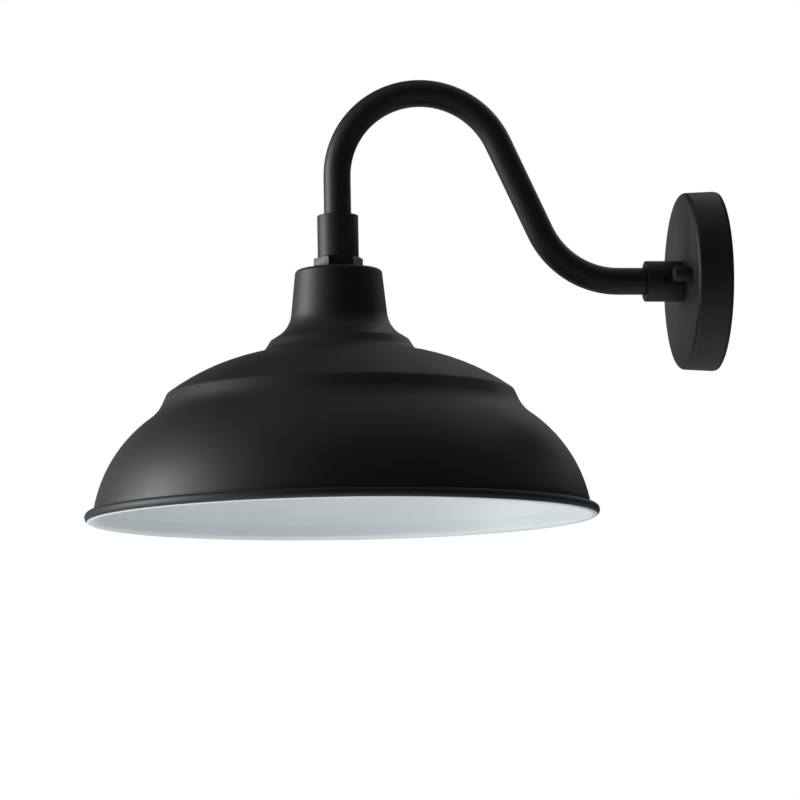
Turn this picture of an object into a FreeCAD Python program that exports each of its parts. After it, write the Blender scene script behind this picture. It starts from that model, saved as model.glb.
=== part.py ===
import FreeCAD, Part
import math
import os
import Sketcher

# Gooseneck wall lantern (barn light), in millimetres.
# The wall is the plane X = 0 and the room side is -X. +Z is up.
# The origin is the centre of the canopy where it meets the wall, so the wall
# collar and the first run of the arm lie along the X axis, and the shade hangs
# on a vertical axis at X = -reach.

doc = FreeCAD.newDocument("wall_lantern")
sheet = doc.addObject("Spreadsheet::Sheet", "sizes")

DRIVING_SIZES = [
    # where things are
    ("reach", 268.0),               # wall to the shade's axis
    ("neck_top", 7.5),              # height of the shade's flat top
    ("arm_top", 133.5),             # highest point of the arm's centreline
    # wall canopy
    ("canopy_depth", 24.5),
    ("canopy_flat_radius", 59.5),
    ("canopy_edge_radius", 3.0),
    ("canopy_lean", 2.8),
    ("canopy_side", 19.6),
    ("canopy_wall", 1.2),
    ("gasket_outer_radius", 63.1),
    ("gasket_inner_radius", 58.5),
    ("gasket_depth", 2.0),
    # crossbar behind the canopy, and what is screwed to it
    ("bar_half_length", 51.0),
    ("bar_half_width", 9.0),
    ("bar_thickness", 1.6),
    ("box_screw_spacing", 88.9),
    ("box_slot_half_width", 2.3),
    ("box_slot_length", 9.0),
    ("stud_spacing", 69.8),
    ("stud_radius", 2.0),
    ("stud_length", 32.0),
    ("stud_nut_flats", 8.0),
    ("stud_nut_height", 3.2),
    ("cap_nut_radius", 5.1),
    ("cap_nut_height", 12.5),
    ("cap_nut_edge", 0.9),
    ("cap_nut_hole_depth", 10.5),
    ("ground_offset", 18.0),
    ("ground_head_flats", 7.6),
    ("ground_head_height", 2.5),
    ("terminal_radius", 3.8),
    ("terminal_thickness", 0.8),
    ("terminal_barrel_radius", 1.6),
    ("terminal_barrel_start", 4.6),
    ("terminal_barrel_end", 9.0),
    ("terminal_tongue_end", 8.2),
    # the two tube fittings: wall collar and shade hub
    ("fitting_radius", 14.4),
    ("collar_length", 26.0),
    ("collar_foot", 8.0),
    ("collar_grub_place", 12.5),
    ("hub_length", 30.0),
    ("hub_foot", 10.0),
    ("hub_grub_place", 13.5),
    ("fitting_edge", 0.7),
    ("grub_radius", 2.5),
    ("grub_sink", 0.5),
    ("grub_tip_gap", 0.1),
    ("grub_hex_flats", 2.5),
    ("grub_hex_depth", 2.2),
    # arm tube
    ("tube_radius", 9.525),
    ("tube_wall", 1.25),
    ("tube_end_gap", 0.3),
    ("bend_radius", 60.0),
    ("slant_angle", 24.5),          # lean of the sloping run from the vertical
    # hollow threaded rods and their nuts and washers
    ("nipple_radius", 5.1),
    ("nipple_bore", 3.4),
    ("nipple_insert", 8.0),
    ("wall_nipple_tail", 11.5),
    ("lamp_nipple_tail", 12.5),
    ("nipple_nut_flats", 16.0),
    ("nipple_nut_height", 4.0),
    ("lock_washer_radius", 8.5),
    ("lock_washer_height", 1.2),
    ("lock_nut_flats", 30.0),
    ("lock_nut_height", 8.5),
    ("seal_radius", 15.0),
    ("seal_height", 1.2),
    ("nut_chamfer", 0.8),
    # spun shade: sheet, then the profile from the flat top down to the rim
    ("shade_sheet", 1.0),
    ("top_flat", 22.4),
    ("top_corner_radius", 3.0),
    ("neck_lean", 6.0),
    ("neck_run", 28.4),
    ("flare_radius", 21.0),
    ("flare_angle", 58.0),
    ("flare_run", 5.7),
    ("small_step_corner", 1.5),
    ("small_step_lean", 32.0),
    ("small_step_run", 5.6),
    ("small_step_fillet", 9.0),
    ("crown_top_angle", 79.0),
    ("crown_radius", 158.0),
    ("crown_foot_angle", 54.0),
    ("big_step_corner", 4.0),
    ("big_step_lean", 24.0),
    ("big_step_run", 6.0),
    ("big_step_fillet", 27.0),
    ("bowl_top_angle", 54.5),
    ("bowl_radius", 97.0),
    ("bowl_foot_angle", 11.5),
    ("skirt_radius", 10.0),
    ("skirt_run", 5.7),
    ("bead_inner_radius", 2.8),
    ("bead_turn", 235.0),
    # lamp socket under the shade's top
    ("socket_cap_radius", 20.7),
    ("socket_cap_height", 22.0),
    ("socket_cap_wall", 1.2),
    ("socket_height", 36.0),
    ("socket_neck_height", 6.5),
    ("socket_web", 12.0),
    ("socket_cavity_radius", 15.2),
    ("socket_mouth_chamfer", 1.2),
    ("shell_bore", 13.3),
    ("shell_sheet", 0.5),
    ("shell_corner", 1.0),
    ("shell_recess", 1.0),
    ("shell_flange_bore", 7.0),
    ("terminal_offset", 9.3),
    ("terminal_head_radius", 3.2),
    ("terminal_head_height", 2.0),
    ("terminal_shank_radius", 1.8),
    ("terminal_shank_length", 6.0),
    ("cap_screw_radius", 1.5),
    ("cap_screw_head_radius", 2.8),
    ("cap_screw_head_height", 1.6),
    ("cap_screw_length", 5.0),
    ("cap_screw_height", 3.2),
    ("contact_radius", 4.5),
    ("contact_height", 1.0),
    ("contact_lift", 0.2),
    ("contact_recess_radius", 5.5),
    ("contact_recess_depth", 3.0),
    ("contact_pin_radius", 1.5),
    ("contact_pin_length", 6.5),
    ("contact_pin_clearance", 0.06),
    ("contact_pin_hole_depth", 9.0),
    # leads and wire connectors
    ("lead_radius", 1.1),
    ("lead_offset", 1.3),
    ("lead_wall_bend", 7.0),
    ("lead_wall_turn_start", 14.0),
    ("lead_wall_rise", 19.0),
    ("lead_lamp_bend", 4.0),
    ("ground_lead_bend", 8.0),
    ("ground_lead_lean", 45.0),
    ("ground_lead_start", 4.0),
    ("ground_lead_slope", 1.0),
    ("ground_lead_end", 6.0),
    ("connector_radius", 4.6),
    ("connector_tip_radius", 2.6),
    ("connector_length", 18.0),
    ("connector_overlap", 3.0),
    # clearances
    ("thread_clearance", 0.05),
    ("tube_clearance", 0.05),
    ("nut_chamfer_start", 0.1),
    ("wire_hole_radius", 6.0),
]

for row, (alias, value) in enumerate(DRIVING_SIZES, start=1):
    sheet.set("A%d" % row, alias)
    sheet.set("B%d" % row, str(value))
    sheet.setAlias("B%d" % row, alias)
doc.recompute()

# Lengths that several sub-parts share, as expressions on the driving sizes.
COLLAR_FACE = "(-sizes.canopy_depth)"
TUBE_WALL_END = "(-sizes.canopy_depth - sizes.collar_foot - sizes.tube_end_gap)"
HUB_FOOT = "(sizes.neck_top + sizes.lock_nut_height)"
TUBE_LAMP_END = "(%s + sizes.hub_foot + sizes.tube_end_gap)" % HUB_FOOT
NIPPLE_HOLE = "(sizes.nipple_radius + sizes.thread_clearance)"
STUD_HOLE = "(sizes.stud_radius + sizes.thread_clearance)"
SEAL_TOP = "(sizes.neck_top - sizes.shade_sheet)"
INNER_NUT_TOP = "(%s - sizes.seal_height)" % SEAL_TOP
CAP_TOP = "(%s - sizes.nipple_nut_height)" % INNER_NUT_TOP
CAP_NUT_TOP = "(%s - sizes.socket_cap_wall)" % CAP_TOP
SOCKET_SHOULDER = "(%s - sizes.socket_cap_height)" % CAP_TOP
SOCKET_TOP = "(%s + sizes.socket_neck_height)" % SOCKET_SHOULDER
SOCKET_FLOOR = "(%s - sizes.socket_web)" % SOCKET_TOP
ARM_TO_LAMP = "(-sizes.reach)"


def value_of(expression):
    """The number that an expression on the sheet has now."""
    result = sheet.evalExpression(expression)
    return float(getattr(result, "Value", result))


# ---------------------------------------------------------------- bodies

def new_body(label, x="0", y="0", z="0", turn=None):
    """An empty body whose place is bound to the sheet."""
    body = doc.addObject("PartDesign::Body", label)
    body.Label = label
    if turn:
        body.Placement = FreeCAD.Placement(FreeCAD.Vector(0, 0, 0), turn)
    for letter, expression in (("x", x), ("y", y), ("z", z)):
        body.setExpression("Placement.Base." + letter, expression + " * 1 mm")
    return body


def axes(x_direction, z_direction):
    """The turn that points a body's X and Z axes in the given directions."""
    across = FreeCAD.Vector(*x_direction)
    along = FreeCAD.Vector(*z_direction)
    return FreeCAD.Rotation(across, along.cross(across), along, "ZXY")


TO_ROOM = axes((0, 0, 1), (-1, 0, 0))           # upright, pointing away from the wall
TO_ROOM_SIDEWAYS = axes((0, 1, 0), (-1, 0, 0))  # the same, with X along the wall
TO_WALL = axes((0, 0, -1), (1, 0, 0))
TO_FRONT = axes((1, 0, 0), (0, -1, 0))
TO_REAR = axes((1, 0, 0), (0, 1, 0))
TO_LEFT = axes((0, 1, 0), (-1, 0, 0))
TO_RIGHT = axes((0, 1, 0), (1, 0, 0))
UPSIDE_DOWN = axes((1, 0, 0), (0, 0, -1))


def new_sketch(body, role, lift=None):
    """A sketch on one of the body's own origin planes, lifted along its normal."""
    sketch = body.newObject("Sketcher::SketchObject", body.Name + "_sketch")
    plane = next(item for item in body.Origin.OriginFeatures if item.Role == role)
    sketch.AttachmentSupport = [(plane, "")]
    sketch.MapMode = "FlatFace"
    if lift:
        sketch.setExpression("AttachmentOffset.Base.z", lift + " * 1 mm")
    return sketch


def bind(sketch, constraint, expression):
    """Adds a constraint and ties its value to the sheet."""
    index = sketch.addConstraint(constraint)
    sketch.setExpression("Constraints[%d]" % index, expression)


def bind_point(sketch, geometry, end, x, y):
    """Ties one point of the sketch to two distances from the sketch's origin."""
    for kind, expression in (("DistanceX", x), ("DistanceY", y)):
        number = value_of(expression)
        if abs(number) < 1e-9:
            on_axis = -2 if kind == "DistanceX" else -1
            sketch.addConstraint(Sketcher.Constraint("PointOnObject", geometry, end, on_axis))
        else:
            bind(sketch, Sketcher.Constraint(kind, -1, 1, geometry, end, number), expression)


def add_circle(sketch, radius, x="0", y="0"):
    centre = FreeCAD.Vector(value_of(x), value_of(y), 0)
    circle = Part.Circle(centre, FreeCAD.Vector(0, 0, 1), value_of(radius))
    geometry = sketch.addGeometry(circle)
    bind_point(sketch, geometry, 3, x, y)
    bind(sketch, Sketcher.Constraint("Radius", geometry, value_of(radius)), radius)


def add_outline(sketch, corners):
    """A closed outline of straight lines through (x, y) expressions."""
    points = [FreeCAD.Vector(value_of(x), value_of(y), 0) for x, y in corners]
    lines = []
    for start, end in zip(points, points[1:] + points[:1]):
        lines.append(sketch.addGeometry(Part.LineSegment(start, end)))
    for line, following in zip(lines, lines[1:] + lines[:1]):
        sketch.addConstraint(Sketcher.Constraint("Coincident", line, 2, following, 1))
    for line, (x, y) in zip(lines, corners):
        bind_point(sketch, line, 1, x, y)


def add_stadium(sketch, half_length, half_width, x="0", y="0"):
    """A slot shape along the sketch's X direction, round at both ends."""
    middle = FreeCAD.Vector(value_of(x), value_of(y), 0)
    radius = value_of(half_width)
    straight = value_of(half_length) - radius
    up = FreeCAD.Vector(0, 1, 0)
    right = FreeCAD.Vector(1, 0, 0)
    arcs = []
    for side in (1, -1):
        centre = middle + right * straight * side
        arc = Part.Arc(centre - up * radius * side, centre + right * radius * side, centre + up * radius * side)
        arcs.append(sketch.addGeometry(arc))
    top = sketch.addGeometry(Part.LineSegment(middle + right * straight + up * radius,
                                              middle - right * straight + up * radius))
    foot = sketch.addGeometry(Part.LineSegment(middle - right * straight - up * radius,
                                               middle + right * straight - up * radius))
    for first, first_end, second, second_end in ((arcs[0], 2, top, 1), (top, 2, arcs[1], 1),
                                                 (arcs[1], 2, foot, 1), (foot, 2, arcs[0], 1)):
        sketch.addConstraint(Sketcher.Constraint("Tangent", first, first_end, second, second_end))
    bind(sketch, Sketcher.Constraint("Radius", arcs[0], radius), half_width)
    for arc, sign in zip(arcs, ("+", "-")):
        bind_point(sketch, arc, 3, "(%s) %s (%s - %s)" % (x, sign, half_length, half_width), y)


def add_chain(sketch, x, y, heading, steps, offset="0"):
    """A chain of tangent runs and turns, starting at (x, y).

    A step is ("run", length), ("left", radius, angle) or ("right", radius, angle).
    The offset makes a parallel chain on the right of the first one: left turns get
    wider by it and right turns get tighter. Returns the chain's two free ends.
    """
    point = FreeCAD.Vector(value_of(x), value_of(y), 0)
    angle = math.radians(heading)
    last = None
    for step in steps:
        direction = FreeCAD.Vector(math.cos(angle), math.sin(angle), 0)
        if step[0] == "run":
            length = value_of(step[1])
            target = point + direction * length
            piece = sketch.addGeometry(Part.LineSegment(point, target))
            entry, leave = 1, 2
        else:
            side = 1 if step[0] == "left" else -1
            radius_expression = "%s %s %s" % (step[1], "+" if side > 0 else "-", offset)
            radius = value_of(radius_expression)
            sweep = math.radians(value_of(step[2])) * side
            to_centre = FreeCAD.Vector(-direction.y, direction.x, 0) * side
            centre = point + to_centre * radius

            def on_arc(turned):
                spoke = FreeCAD.Vector(-to_centre.x, -to_centre.y, 0) * radius
                return centre + FreeCAD.Rotation(FreeCAD.Vector(0, 0, 1), math.degrees(turned)).multVec(spoke)

            target = on_arc(sweep)
            piece = sketch.addGeometry(Part.Arc(point, on_arc(sweep / 2), target))
            entry, leave = (1, 2) if side > 0 else (2, 1)
            angle += sweep
        if last is None:
            bind_point(sketch, piece, entry, x, y)
            straight = "Horizontal" if heading % 180 == 0 else "Vertical"
            sketch.addConstraint(Sketcher.Constraint(straight, piece))
            first = (piece, entry)
        else:
            sketch.addConstraint(Sketcher.Constraint("Tangent", last[0], last[1], piece, entry))
        if step[0] == "run":
            bind(sketch, Sketcher.Constraint("Distance", piece, length), step[1])
        else:
            bind(sketch, Sketcher.Constraint("Radius", piece, radius), radius_expression)
            bind(sketch, Sketcher.Constraint("Angle", piece, abs(sweep)), step[2] + " * 1 deg")
        last = (piece, leave)
        point = target
    return first, last, point


# ---------------------------------------------------------------- features

def pad(body, sketch, length, reverse=False):
    feature = body.newObject("PartDesign::Pad", body.Name + "_pad")
    feature.Profile = sketch
    feature.setExpression("Length", length + " * 1 mm")
    feature.Reversed = reverse
    sketch.Visibility = False
    doc.recompute()
    return feature


def pocket(body, sketch, length, reverse=False):
    feature = body.newObject("PartDesign::Pocket", body.Name + "_pocket")
    feature.Profile = sketch
    feature.setExpression("Length", length + " * 1 mm")
    feature.Reversed = reverse
    before = body.Shape.Volume
    doc.recompute()
    if not body.Shape.Volume < before - 1e-6:
        raise RuntimeError("pocket cuts nothing: " + body.Label)
    return feature


def revolve(body, sketch):
    feature = body.newObject("PartDesign::Revolution", body.Name + "_turned")
    feature.Profile = sketch
    feature.ReferenceAxis = (sketch, ["V_Axis"])
    feature.Angle = 360
    doc.recompute()
    return feature


def groove(body, sketch):
    feature = body.newObject("PartDesign::Groove", body.Name + "_groove")
    feature.Profile = sketch
    feature.ReferenceAxis = (sketch, ["V_Axis"])
    feature.Angle = 360
    before = body.Shape.Volume
    doc.recompute()
    if not body.Shape.Volume < before - 1e-6:
        raise RuntimeError("groove cuts nothing: " + body.Label)
    return feature


def turned(label, outline, x="0", y="0", z="0", turn=None):
    """A turned piece: an outline of (radius, height) spun round the body's Z axis."""
    body = new_body(label, x, y, z, turn)
    sketch = new_sketch(body, "XZ_Plane")
    add_outline(sketch, outline)
    revolve(body, sketch)
    return body


def tube_outline(inner, outer, low, high):
    return [(inner, low), (outer, low), (outer, high), (inner, high)]


def hexagon(flats):
    """Corners of a hexagon with two corners on the X axis."""
    corner = "%s / sqrt(3)" % flats
    half = "%s / 2 / sqrt(3)" % flats
    flat = "%s / 2" % flats
    return [(corner, "0"), (half, flat), ("-" + half, flat),
            ("-" + corner, "0"), ("-" + half, "-" + flat), (half, "-" + flat)]


def hex_nut(label, flats, height, hole, x="0", y="0", z="0", turn=None, both_ends=True):
    """A nut standing on its own XY plane, with its corners chamfered."""
    body = new_body(label, x, y, z, turn)
    sketch = new_sketch(body, "XY_Plane")
    add_outline(sketch, hexagon(flats))
    add_circle(sketch, hole)
    pad(body, sketch, height)
    inner = "(%s / 2 - sizes.nut_chamfer_start)" % flats
    outer = "(%s / sqrt(3) + sizes.nut_chamfer)" % flats
    ends = [(height, "(%s - sizes.nut_chamfer)" % height)]
    if both_ends:
        ends.append(("0", "sizes.nut_chamfer"))
    for face, depth in ends:
        corner_cut = new_sketch(body, "XZ_Plane")
        add_outline(corner_cut, [(inner, face), (outer, face), (outer, depth)])
        groove(body, corner_cut)
    return body


def group(label, pieces):
    """Identical fasteners kept together under one name, as separate solids."""
    together = doc.addObject("Part::Compound", label)
    together.Links = pieces
    together.Label = label
    doc.recompute()
    return together


def pressed_shell(label, hole, steps, sheet_thickness, x, z, turn=None):
    """A round shell of sheet metal: its section starts at the hole's edge on top."""
    body = new_body(label, x, "0", z, turn)
    sketch = new_sketch(body, "XZ_Plane")
    outer_first, outer_last, outer_end = add_chain(sketch, hole, "0", 0, steps)
    inner_first, inner_last, inner_end = add_chain(sketch, hole, "-" + sheet_thickness, 0, steps,
                                                   sheet_thickness)
    top = FreeCAD.Vector(value_of(hole), 0, 0)
    under = FreeCAD.Vector(value_of(hole), -value_of(sheet_thickness), 0)
    for ends, corners in (((outer_first, inner_first), (top, under)),
                          ((outer_last, inner_last), (outer_end, inner_end))):
        closing = sketch.addGeometry(Part.LineSegment(*corners))
        for number, (geometry, end) in enumerate(ends, start=1):
            sketch.addConstraint(Sketcher.Constraint("Coincident", closing, number, geometry, end))
    revolve(body, sketch)
    return body


def swept(label, radii, steps, x, y, z, turn):
    """A tube or wire swept along a chain that leaves the body's origin along its Z axis."""
    body = new_body(label, x, y, z, turn)
    path = new_sketch(body, "XZ_Plane")
    add_chain(path, "0", "0", 90, steps)
    section = new_sketch(body, "XY_Plane")
    for radius in radii:
        add_circle(section, radius)
    doc.recompute()
    pipe = body.newObject("PartDesign::AdditivePipe", body.Name + "_pipe")
    pipe.Profile = section
    pipe.Spine = (path, [])
    doc.recompute()
    areas = [math.pi * value_of(radius) ** 2 for radius in radii]
    area = areas[0] - sum(areas[1:])
    length = path.Shape.Length
    if abs(body.Shape.Volume / (area * length) - 1) > 0.01:
        raise RuntimeError("swept volume is wrong: " + label)
    return body


SUBPARTS = []


def keep(piece):
    """Marks an object as one of the lantern's pieces."""
    SUBPARTS.append(piece)
    return piece


# ---------------------------------------------------------------- at the wall

CANOPY_INSIDE = "(%s + sizes.canopy_wall)" % COLLAR_FACE


def build_canopy():
    """The pressed cover that hides the junction box."""
    steps = [
        ("run", "(sizes.canopy_flat_radius - %s)" % NIPPLE_HOLE),
        ("right", "sizes.canopy_edge_radius", "(90 - sizes.canopy_lean)"),
        ("run", "sizes.canopy_side"),
    ]
    body = pressed_shell("canopy", NIPPLE_HOLE, steps, "sizes.canopy_wall", COLLAR_FACE, "0", TO_ROOM)
    holes = new_sketch(body, "XY_Plane")
    for side in ("-", ""):
        add_circle(holes, STUD_HOLE, "0", side + "sizes.stud_spacing / 2")
    pocket(body, holes, "(sizes.canopy_wall * 2)")
    return body


def build_crossbar():
    """The strap that is screwed to the junction box and carries the canopy."""
    body = new_body("crossbar", turn=TO_ROOM_SIDEWAYS)
    strap = new_sketch(body, "XY_Plane")
    add_stadium(strap, "sizes.bar_half_length", "sizes.bar_half_width")
    pad(body, strap, "sizes.bar_thickness")
    holes = new_sketch(body, "XY_Plane")
    add_circle(holes, "sizes.wire_hole_radius")
    add_circle(holes, STUD_HOLE, "-sizes.ground_offset")
    for side in ("-", ""):
        add_circle(holes, STUD_HOLE, side + "sizes.stud_spacing / 2")
        add_stadium(holes, "sizes.box_slot_length / 2", "sizes.box_slot_half_width",
                    side + "sizes.box_screw_spacing / 2")
    pocket(body, holes, "sizes.bar_thickness", reverse=True)
    return body


def build_stud(label, y):
    outline = tube_outline("0", "sizes.stud_radius", "0", "sizes.stud_length")
    return turned(label, outline, y=y, turn=TO_ROOM)


def build_stud_nut(label, y):
    return hex_nut(label, "sizes.stud_nut_flats", "sizes.stud_nut_height", STUD_HOLE,
                   x="-sizes.bar_thickness", y=y, turn=TO_ROOM)


def build_cap_nut(label, y):
    """A closed round nut on the room side of the canopy."""
    edge = "(sizes.cap_nut_radius - sizes.cap_nut_edge)"
    outline = [
        (STUD_HOLE, "0"),
        ("sizes.cap_nut_radius", "0"),
        ("sizes.cap_nut_radius", "(sizes.cap_nut_height - sizes.cap_nut_edge)"),
        (edge, "sizes.cap_nut_height"),
        ("0", "sizes.cap_nut_height"),
        ("0", "sizes.cap_nut_hole_depth"),
        (STUD_HOLE, "sizes.cap_nut_hole_depth"),
    ]
    return turned(label, outline, x=COLLAR_FACE, y=y, turn=TO_ROOM)


def build_ground_screw():
    """The earthing screw in the crossbar, with a hexagonal head."""
    under_head = "(sizes.bar_thickness + sizes.terminal_thickness)"
    body = new_body("ground_screw", "-" + under_head, "-sizes.ground_offset", "0", TO_ROOM)
    head = new_sketch(body, "XY_Plane")
    add_outline(head, hexagon("sizes.ground_head_flats"))
    pad(body, head, "sizes.ground_head_height")
    shank = new_sketch(body, "XY_Plane")
    add_circle(shank, "sizes.stud_radius")
    pad(body, shank, under_head, reverse=True)
    return body


def build_ground_terminal():
    """A ring terminal: flat eye and tongue, and the barrel that grips the wire."""
    body = new_body("ground_terminal", "-sizes.bar_thickness", "-sizes.ground_offset", "0", TO_ROOM)
    eye = new_sketch(body, "XY_Plane")
    reach = "((sizes.terminal_tongue_end + sizes.terminal_radius) / 2)"
    middle = "((sizes.terminal_tongue_end - sizes.terminal_radius) / 2)"
    add_stadium(eye, reach, "sizes.terminal_radius", middle)
    add_circle(eye, STUD_HOLE)
    pad(body, eye, "sizes.terminal_thickness")
    barrel = new_sketch(body, "YZ_Plane", "sizes.terminal_barrel_start")
    add_circle(barrel, "sizes.terminal_barrel_radius", "0", TERMINAL_BARREL_HEIGHT)
    pad(body, barrel, "(sizes.terminal_barrel_end - sizes.terminal_barrel_start)")
    return body


TERMINAL_BARREL_HEIGHT = "(sizes.terminal_thickness / 2 + sizes.terminal_barrel_radius)"
GROUND_LEAD_X = "(-sizes.bar_thickness - %s)" % TERMINAL_BARREL_HEIGHT


def build_fitting(label, part, x, z, turn, grub_towards_front):
    """A round tube fitting: threaded foot, wide socket for the tube, side hole for a grub screw."""
    foot_bore = NIPPLE_HOLE
    length, socket_floor, grub_place = ["sizes.%s_%s" % (part, word) for word in ("length", "foot", "grub_place")]
    socket_bore = "(sizes.tube_radius + sizes.tube_clearance)"
    rounded = "(sizes.fitting_radius - sizes.fitting_edge)"
    outline = [
        (foot_bore, "0"),
        (rounded, "0"),
        ("sizes.fitting_radius", "sizes.fitting_edge"),
        ("sizes.fitting_radius", "(%s - sizes.fitting_edge)" % length),
        (rounded, length),
        (socket_bore, length),
        (socket_bore, socket_floor),
        (foot_bore, socket_floor),
    ]
    body = turned(label, outline, x=x, z=z, turn=turn)
    hole = new_sketch(body, "XZ_Plane")
    add_circle(hole, "(sizes.grub_radius + sizes.thread_clearance)", "0", grub_place)
    pocket(body, hole, "(sizes.fitting_radius + sizes.fitting_edge)", reverse=grub_towards_front)
    return body


def build_grub_screw(label, x, y_sign, z, turn):
    """A headless screw with a hexagonal recess, driven in until it meets the tube."""
    tip = "(sizes.tube_radius + sizes.grub_tip_gap)"
    length = "(sizes.fitting_radius - sizes.grub_sink - %s)" % tip
    body = turned(label, tube_outline("0", "sizes.grub_radius", "0", length), x, y_sign + tip, z, turn)
    recess = new_sketch(body, "XY_Plane", length)
    add_outline(recess, hexagon("sizes.grub_hex_flats"))
    pocket(body, recess, "sizes.grub_hex_depth")
    return body


def build_wall_side():
    keep(build_canopy())
    gasket = tube_outline("sizes.gasket_inner_radius", "sizes.gasket_outer_radius", "0", "sizes.gasket_depth")
    keep(turned("canopy_gasket", gasket, turn=TO_ROOM))
    keep(build_crossbar())
    for label, build in (("canopy_studs", build_stud), ("canopy_stud_nuts", build_stud_nut),
                         ("cap_nuts", build_cap_nut)):
        front = build(label + "_front", "-sizes.stud_spacing / 2")
        rear = build(label + "_rear", "sizes.stud_spacing / 2")
        keep(group(label, [front, rear]))
    keep(build_ground_screw())
    keep(build_ground_terminal())
    keep(build_fitting("wall_collar", "collar", COLLAR_FACE, "0", TO_ROOM, True))
    grub_x = "(%s - sizes.collar_grub_place)" % COLLAR_FACE
    keep(build_grub_screw("wall_collar_set_screw", grub_x, "-", "0", TO_FRONT))
    nipple = tube_outline("sizes.nipple_bore", "sizes.nipple_radius", "0",
                          "(sizes.nipple_insert + sizes.wall_nipple_tail)")
    keep(turned("wall_nipple", nipple, x="(%s + sizes.wall_nipple_tail)" % COLLAR_FACE, turn=TO_ROOM))
    washer = tube_outline(NIPPLE_HOLE, "sizes.lock_washer_radius", "0", "sizes.lock_washer_height")
    washer_back = "(%s + sizes.lock_washer_height)" % CANOPY_INSIDE
    keep(turned("wall_lock_washer", washer, x=washer_back, turn=TO_ROOM))
    keep(hex_nut("wall_nipple_nut", "sizes.nipple_nut_flats", "sizes.nipple_nut_height", NIPPLE_HOLE,
                 x="(%s + sizes.nipple_nut_height)" % washer_back, turn=TO_ROOM))


# ---------------------------------------------------------------- arm

SLANT_RUN = "((sizes.arm_top - 2 * sizes.bend_radius * (1 - sin(sizes.slant_angle))) / cos(sizes.slant_angle))"
WALL_RUN = ("(sizes.reach - sizes.bend_radius - 2 * sizes.bend_radius * cos(sizes.slant_angle)"
            " - %s * sin(sizes.slant_angle) + %s)" % (SLANT_RUN, TUBE_WALL_END))
DROP_RUN = "(sizes.arm_top - sizes.bend_radius - %s)" % TUBE_LAMP_END

ARM_STEPS = [
    ("run", WALL_RUN),
    ("right", "sizes.bend_radius", "(90 - sizes.slant_angle)"),
    ("run", SLANT_RUN),
    ("left", "sizes.bend_radius", "(180 - sizes.slant_angle)"),
    ("run", DROP_RUN),
]


def build_arm():
    tube_inside = "(sizes.tube_radius - sizes.tube_wall)"
    tube = ["sizes.tube_radius", tube_inside]
    keep(swept("gooseneck_arm", tube, ARM_STEPS, TUBE_WALL_END, "0", "0", TO_ROOM))
    for label, side in (("arm_hot_lead", ""), ("arm_neutral_lead", "-")):
        y = side + "sizes.lead_offset"
        keep(swept(label, ["sizes.lead_radius"], ARM_STEPS, TUBE_WALL_END, y, "0", TO_ROOM))


# ---------------------------------------------------------------- shade and its fixings

SHADE_STEPS = [
    ("run", "sizes.top_flat"),
    ("right", "sizes.top_corner_radius", "(90 - sizes.neck_lean)"),
    ("run", "sizes.neck_run"),
    ("left", "sizes.flare_radius", "(sizes.flare_angle - sizes.neck_lean)"),
    ("run", "sizes.flare_run"),
    ("right", "sizes.small_step_corner", "(sizes.flare_angle - sizes.small_step_lean)"),
    ("run", "sizes.small_step_run"),
    ("left", "sizes.small_step_fillet", "(sizes.crown_top_angle - sizes.small_step_lean)"),
    ("right", "sizes.crown_radius", "(sizes.crown_top_angle - sizes.crown_foot_angle)"),
    ("right", "sizes.big_step_corner", "(sizes.crown_foot_angle - sizes.big_step_lean)"),
    ("run", "sizes.big_step_run"),
    ("left", "sizes.big_step_fillet", "(sizes.bowl_top_angle - sizes.big_step_lean)"),
    ("right", "sizes.bowl_radius", "(sizes.bowl_top_angle - sizes.bowl_foot_angle)"),
    ("right", "sizes.skirt_radius", "sizes.bowl_foot_angle"),
    ("run", "sizes.skirt_run"),
    ("left", "sizes.bead_inner_radius", "sizes.bead_turn"),
]


def on_lamp_axis(label, outline):
    """A turned piece on the shade's axis, with its heights measured from the wall mount's centre."""
    return turned(label, outline, x=ARM_TO_LAMP)


def below(top, height):
    return "(%s - %s)" % (top, height)


def build_shade_side():
    keep(build_fitting("shade_hub", "hub", ARM_TO_LAMP, HUB_FOOT, None, False))
    grub_z = "(%s + sizes.hub_grub_place)" % HUB_FOOT
    keep(build_grub_screw("hub_set_screw", ARM_TO_LAMP, "", grub_z, TO_REAR))
    keep(hex_nut("shade_lock_nut", "sizes.lock_nut_flats", "sizes.lock_nut_height", NIPPLE_HOLE,
                 x=ARM_TO_LAMP, z="sizes.neck_top"))
    keep(on_lamp_axis("shade_nipple", tube_outline("sizes.nipple_bore", "sizes.nipple_radius",
                                                   below("sizes.neck_top", "sizes.lamp_nipple_tail"),
                                                   "(%s + sizes.nipple_insert)" % HUB_FOOT)))
    keep(pressed_shell("shade", NIPPLE_HOLE, SHADE_STEPS, "sizes.shade_sheet", ARM_TO_LAMP, "sizes.neck_top"))
    keep(on_lamp_axis("shade_seal", tube_outline(NIPPLE_HOLE, "sizes.seal_radius", INNER_NUT_TOP, SEAL_TOP)))
    keep(hex_nut("inner_lock_nut", "sizes.nipple_nut_flats", "sizes.nipple_nut_height", NIPPLE_HOLE,
                 x=ARM_TO_LAMP, z=CAP_TOP))
    keep(hex_nut("socket_cap_nut", "sizes.nipple_nut_flats", "sizes.nipple_nut_height", NIPPLE_HOLE,
                 x=ARM_TO_LAMP, z=below(CAP_NUT_TOP, "sizes.nipple_nut_height")))


# ---------------------------------------------------------------- lamp socket

CAP_SCREW_Z = "(%s + sizes.cap_screw_height)" % SOCKET_SHOULDER
SOCKET_BOTTOM = "(%s - sizes.socket_height)" % SOCKET_SHOULDER


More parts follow.
